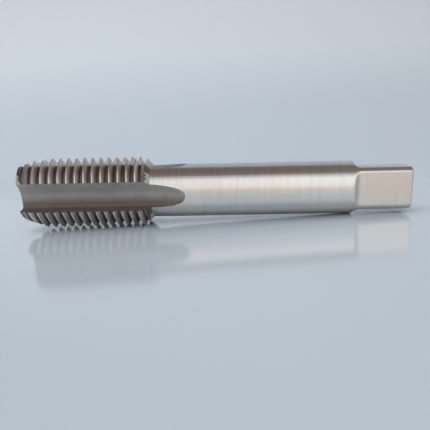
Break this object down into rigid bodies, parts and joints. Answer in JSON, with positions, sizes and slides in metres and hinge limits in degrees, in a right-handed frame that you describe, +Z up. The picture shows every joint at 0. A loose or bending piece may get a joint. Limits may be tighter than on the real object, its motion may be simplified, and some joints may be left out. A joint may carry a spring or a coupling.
{
  "type": "thread tap",
  "caption": "Straight-fluted right-hand tap for cutting internal metric threads, with a relieved lead, plain round shank and drive square.",
  "frame": {"origin": "middle of the part's box, at its base, on the surface that the tap lies on", "axes": "+X from the cutting end towards the drive square, nearly along the tap's own axis, which dips 1.8 degrees to the square; +Z up; +Y to the back"},
  "size_m": [0.1184, 0.02, 0.021],
  "materials": {
    "tool_steel": "bright ground high-speed steel: fine grinding lines round the shank, satin flutes and thread flanks"
  },
  "bodies": {
    "root": {"thread_tap": "tool_steel"}
  },
  "joints": []
}
